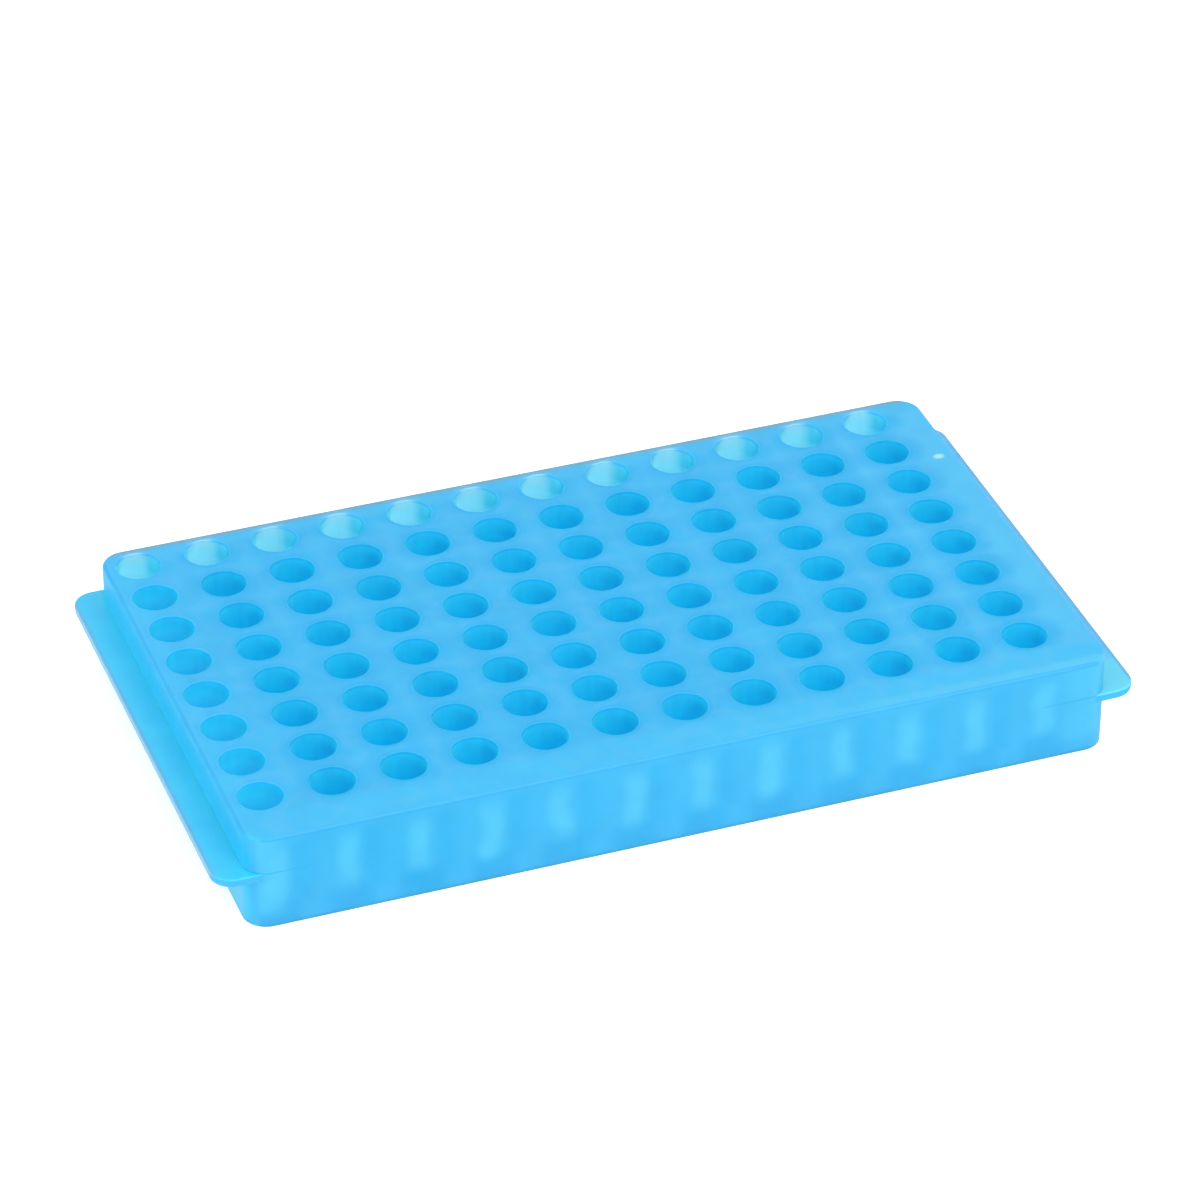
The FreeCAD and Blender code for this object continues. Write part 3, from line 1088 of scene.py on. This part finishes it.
    def _left_face(self, at: Place) -> Tone:
        """Args:
            at: the place.

        Returns:
            The colour of the skirt's left face, with painted light that is palest just over the ledge.
        """
        return at.nodes.layers(self.end_wall, [
            # painted light, palest just over the ledge, and painted shade at the foot
            (at.deep.rise(4.5, 10.0), self.end_wall_low_lit),
            ((at.z - at.rack.ledge_high).rise(1.9, 0.1), self.end_wall_foot_lit),
            (at.foot(), self.foot),
        ])

    def _lining(self, at: Place) -> Signal:
        """Args:
            at: the place.

        Returns:
            The colour of the wells' linings, painted with light and shade: paler deep down, at the left and
            in the first column, deeper at the right and at the lips, and lit from behind in the back row.
        """
        nodes = at.nodes
        at_lip = at.deep.rise(1.0, 0.1)
        # painted shade at the lips, lighter at the near side, in the back row and in the first column,
        # deepest at the left
        lip = nodes.layers(self.lip, [
            (at.v.rise(2.0, -3.0), self.lip_near_lit),
            (at.behind.rise(-1.4, -1.1) * at.u.rise(3.0, -1.0), self.lip_back_row_lit),
            (at.u.rise(-3.0, -5.0), self.lip_left_shade),
            (0.8 * at.first_column(), self.lip_first_lit),
        ])
        # painted light and shade: paler deep down, at the left and in the first column, deeper at the
        # right, lit from behind in the back row
        lit_near_top = nodes.mix(abs(at.u).rise(4.8, 0.5), self.half_lit_top, self.lit_top)
        tone = nodes.layers(self.well, [
            (at.deep.rise(1.5, 8.0), self.well_deep_lit),
            (0.8 * at.u.rise(0.0, -4.6), self.well_left_lit),
            (at.u.rise(2.4, 5.2) * at.deep.rise(7.0, 3.0), self.well_right_shade),
            (0.7 * at.first_column() * at.deep.rise(1.0, 5.0), self.well_end_lit),
            (at_lip, lip),
            (at.behind.rise(-0.2, 0.6), self.half_lit),
            (at.lit_patch(), self.backlit),
            (at.behind.rise(0.3, 0.7) * at.deep.rise(3.5, 0.8), lit_near_top),
            (at_lip * at.behind.rise(-0.6, 0.0) * abs(at.u).rise(1.5, 4.0), self.back_margin),
        ])
        return nodes.shaded(tone, nodes.noise(at.xyz, self.streak_spot).span(*self.streak))

    def _light_through(self, at: Place) -> Signal:
        """Args:
            at: the place.

        Returns:
            The faint light that comes through the walls into the wells, most of it by the back wall.
        """
        mix = at.nodes.mix
        glow = at.nodes.layers(self.no_glow, [
            (at.deep.rise(1.5, 7.5), self.well_glow),
            (at.deep.rise(1.5, 6.0) * at.first_column(), self.end_glow),
            (at.behind.rise(0.0, 0.6), mix(at.deep.rise(4.3, 6.0), self.half_glow, self.half_glow_deep)),
            (at.lit_patch(), mix(at.deep.rise(2.0, 6.5), self.back_glow, self.back_glow_deep)),
        ])
        return mix(at.in_well() * at.deep.rise(0.0, 0.9), self.no_glow, glow)


# ---- stage


@dataclass(frozen=True)
class Lamp:
    """One soft round lamp that looks at the rack, in metres and watts."""

    name: str
    place: tuple[float, float, float]
    size: float
    watts: float

    def hang(self) -> None:
        """Adds the lamp to the scene."""
        light = bpy.data.lights.new(self.name, "AREA")
        light.shape = "DISK"
        light.size = self.size
        light.energy = self.watts
        lamp = bpy.data.objects.new(self.name, light)
        place = Vector(self.place)
        look = (-place).to_track_quat("-Z", "Y").to_matrix().to_4x4()
        lamp.matrix_world = Matrix.Translation(place) @ look
        bpy.context.scene.collection.objects.link(lamp)


@dataclass(frozen=True)
class Studio:
    """The pale floor, the soft lights and the camera, in metres and degrees."""

    azimuth: float = -20.206
    elevation: float = 34.383
    roll: float = 0.239
    distance: float = 1.37189
    aim: tuple[float, float, float] = (0.007788, 0.019958, 0.0127)
    lens: float = 166.553
    sensor: float = 36.0
    near_clip: float = 0.05
    world_level: float = 0.88
    floor_level: float = 0.92
    floor_glow: float = 0.56
    floor_reach: float = 3.0
    diffuse_bounces: int = 8
    lamps: tuple[Lamp, ...] = (
        Lamp("key_lamp", (0.25, -1.2, 0.75), 0.9, 5.0),
        Lamp("side_lamp", (-1.3, -0.2, 0.3), 0.7, 3.0),
    )

    def camera(self) -> None:
        """Adds the camera. It looks along the azimuth, 0 being along +y, from an elevation, at the aim."""
        turn, rise = math.radians(self.azimuth), math.radians(self.elevation)
        level = math.cos(rise)
        back = Vector((math.sin(turn) * level, -math.cos(turn) * level, math.sin(rise)))
        data = bpy.data.cameras.new("camera")
        data.lens = self.lens
        data.sensor_width = self.sensor
        data.clip_start = self.near_clip
        camera = bpy.data.objects.new("camera", data)
        look = (-back).to_track_quat("-Z", "Y").to_matrix().to_4x4()
        tilt = Matrix.Rotation(math.radians(self.roll), 4, "Z")
        camera.matrix_world = Matrix.Translation(Vector(self.aim) + back * self.distance) @ look @ tilt
        bpy.context.scene.collection.objects.link(camera)
        bpy.context.scene.camera = camera

    def floor(self) -> None:
        """Adds the floor, a plain pale sheet that keeps the object's shadow."""
        mesh = bpy.data.meshes.new("floor")
        far = self.floor_reach
        corners = [(-far, -far, 0), (far, -far, 0), (far, far, 0), (-far, far, 0)]
        mesh.from_pydata(corners, [], [(0, 1, 2, 3)])
        floor = bpy.data.objects.new("floor", mesh)
        bpy.context.scene.collection.objects.link(floor)
        material = bpy.data.materials.new("pale_floor")
        material.use_nodes = True
        nodes = NodeSheet(material.node_tree)
        matt = nodes.add("ShaderNodeBsdfDiffuse", inputs={"Color": (*[self.floor_level] * 3, 1.0)})
        glow = nodes.add("ShaderNodeEmission", inputs={"Color": WHITE, "Strength": self.floor_glow})
        both = nodes.add("ShaderNodeAddShader", inputs={0: matt, 1: glow})
        white = nodes.add("ShaderNodeEmission", inputs={"Color": WHITE, "Strength": 1.0})
        rays = ("Camera", "Glossy", "Transmission")
        seen, glossy, through = (nodes.add("ShaderNodeLightPath", output=f"Is {ray} Ray") for ray in rays)
        plain = nodes.add("ShaderNodeMixShader", inputs={0: glossy.most(through), 1: matt, 2: white})
        shown = nodes.add("ShaderNodeMixShader", inputs={0: seen, 1: plain, 2: both})
        nodes.add("ShaderNodeOutputMaterial", inputs={"Surface": shown})
        mesh.materials.append(material)

    def world(self) -> None:
        """Makes the world: an even soft light, seen as white."""
        world = bpy.data.worlds.new("soft_room")
        world.use_nodes = True
        nodes = NodeSheet(world.node_tree)
        level = nodes.add("ShaderNodeLightPath", output="Is Camera Ray").span(self.world_level, 1.0)
        sky = nodes.add("ShaderNodeBackground", inputs={"Color": WHITE, "Strength": level})
        nodes.add("ShaderNodeOutputWorld", inputs={"Surface": sky})
        bpy.context.scene.world = world

    def build(self) -> None:
        """Sets the whole stage."""
        self.floor()
        self.world()
        for lamp in self.lamps:
            lamp.hang()
        self.camera()
        scene = bpy.context.scene
        scene.view_settings.view_transform = "Standard"
        scene.cycles.diffuse_bounces = self.diffuse_bounces
        scene.cycles.max_bounces = 2 * self.diffuse_bounces


# ---- assembly


def main() -> None:
    """Builds the rack and its stage."""
    logging.basicConfig(level=logging.INFO, format="%(name)s: %(message)s")
    wells = WellGrid.read(frame["record"])
    LOG.info("%d columns by %d rows of wells", wells.columns, wells.rows)
    rack = RackMoulding(wells)
    piece = rack.build()
    piece.data.materials.append(Polypropylene().material(rack))
    LOG.info("%s: %d faces", piece.name, len(piece.data.polygons))
    Studio().build()


if __name__ == "__main__":
    main()
